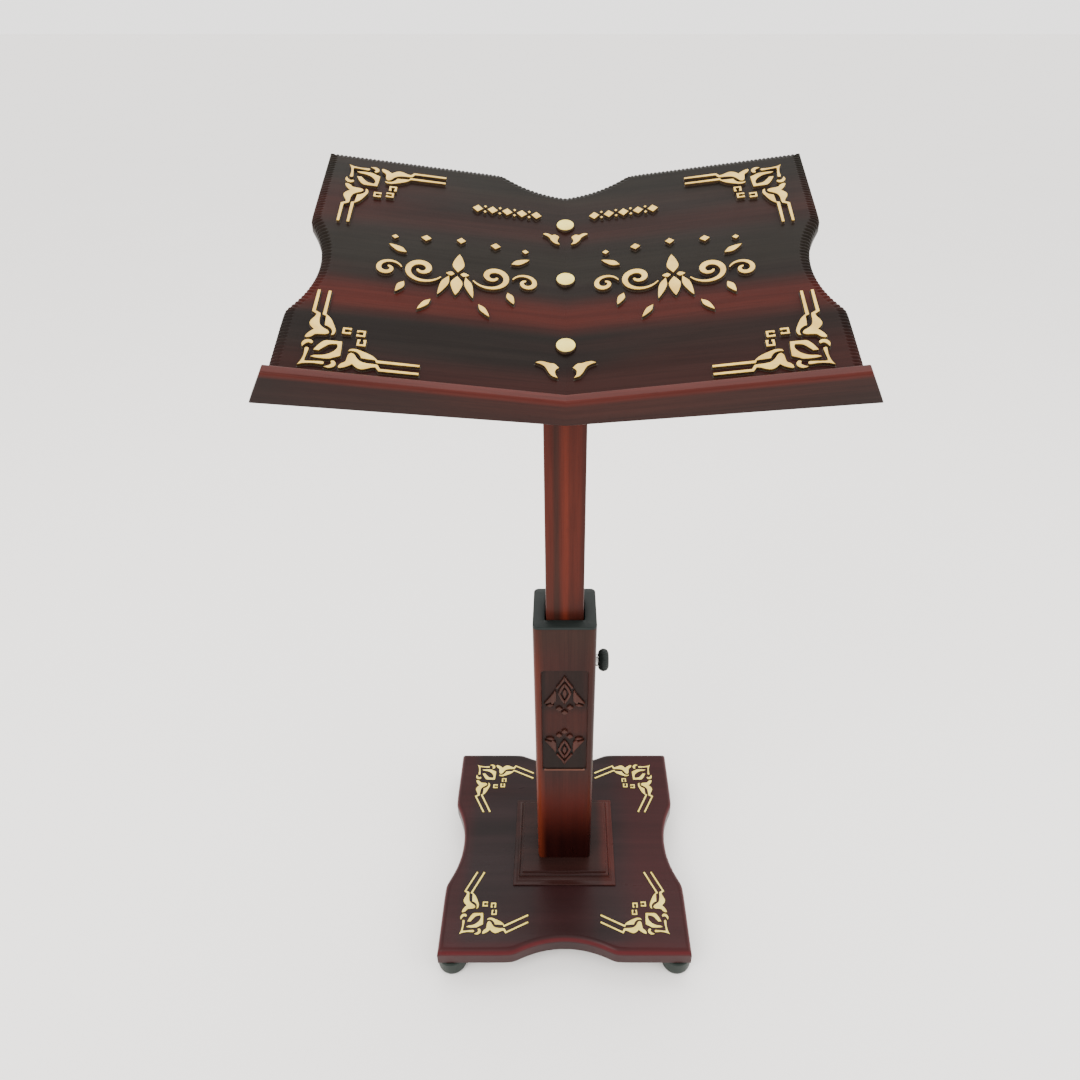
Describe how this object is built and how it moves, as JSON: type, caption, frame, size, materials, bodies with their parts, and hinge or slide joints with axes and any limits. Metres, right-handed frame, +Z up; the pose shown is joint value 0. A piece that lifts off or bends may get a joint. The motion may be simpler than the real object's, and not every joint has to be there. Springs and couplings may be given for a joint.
{
  "type": "height-adjustable book stand",
  "caption": "Floor-standing prayer book stand: square scalloped base on feet, hollow column, sliding post with side clamp knob, and a sloping V-shaped two-leaf desk with a front ledge.",
  "frame": {"origin": "on the floor, on the column's vertical axis, at the middle of the object's footprint", "axes": "+Z up, -Y towards the reader, +X to the reader's right, where the clamp knob is"},
  "size_m": [0.4876, 0.3356, 0.9478],
  "materials": {
    "mahogany": "glossy dark red mahogany varnish",
    "dark_wood": "satin dark brown varnish with reddish grain",
    "raw_wood": "unvarnished stained wood",
    "beech": "plain beech",
    "gilt": "warm gilt paint on raised wood",
    "pale_gilt": "pale gilt paint",
    "black_plastic": "moulded black plastic",
    "foot_plastic": "dark green-black moulded plastic",
    "steel": "zinc-plated steel",
    "brass": "machined brass"
  },
  "bodies": {
    "base": {"base_plate": "mahogany", "base_bolt_left": "steel", "base_bolt_right": "steel", "base_corner_front_left": "pale_gilt", "base_corner_front_right": "pale_gilt", "base_corner_rear_left": "pale_gilt", "base_corner_rear_right": "pale_gilt", "foot_front_left": "foot_plastic", "foot_front_right": "foot_plastic", "foot_rear_left": "foot_plastic", "foot_rear_right": "foot_plastic", "foot_screw_front_left": "steel", "foot_screw_front_right": "steel", "foot_screw_rear_left": "steel", "foot_screw_rear_right": "steel", "plinth": "mahogany", "column_front_board": "mahogany", "column_rear_board": "mahogany", "column_left_board": "mahogany", "column_right_board": "mahogany", "column_foot_block": "beech", "column_cap_plate": "black_plastic", "clamp_insert": "brass"},
    "post": {"inner_post": "mahogany", "desk_saddle": "raw_wood", "front_rail": "raw_wood", "rear_rail": "raw_wood", "post_dowel_left": "beech", "post_dowel_right": "beech", "fold_screw_front": "steel", "fold_screw_middle": "steel", "fold_screw_rear": "steel", "rail_screw_front_left": "steel", "rail_screw_front_right": "steel", "rail_screw_rear_left": "steel", "rail_screw_rear_right": "steel", "fold_disc_front": "pale_gilt", "fold_disc_middle": "pale_gilt", "fold_disc_rear": "pale_gilt", "left_leaf": "dark_wood", "right_leaf": "dark_wood", "left_ledge": "mahogany", "right_ledge": "mahogany", "left_leaf_corner_front": "gilt", "left_leaf_corner_rear": "gilt", "right_leaf_corner_front": "gilt", "right_leaf_corner_rear": "gilt", "left_flame_front": "gilt", "left_flame_rear": "gilt", "right_flame_front": "gilt", "right_flame_rear": "gilt", "left_scroll": "gilt", "right_scroll": "gilt", "left_chain": "gilt", "right_chain": "gilt"},
    "clamp_pad": {"clamp_pad": "steel"},
    "clamp_knob": {"clamp_knob": "black_plastic", "clamp_stud": "steel", "clamp_hub": "steel"}
  },
  "joints": [
    {"name": "height_slide", "type": "slide", "parent": "base", "child": "post", "axis": [0, 0, 1], "range_m": [-0.24, 0.04]},
    {"name": "clamp_travel", "type": "slide", "parent": "base", "child": "clamp_pad", "axis": [1, 0, 0], "range_m": [0, 0.003]},
    {"name": "knob_turn", "type": "hinge", "parent": "clamp_pad", "child": "clamp_knob", "pos_m": [0.045, 0, 0.405], "axis": [1, 0, 0], "range_deg": [0, 860]}
  ],
  "couplings": [
    {"joint": "clamp_travel", "follows": "knob_turn", "m_per_rad": 0.00019894}
  ]
}
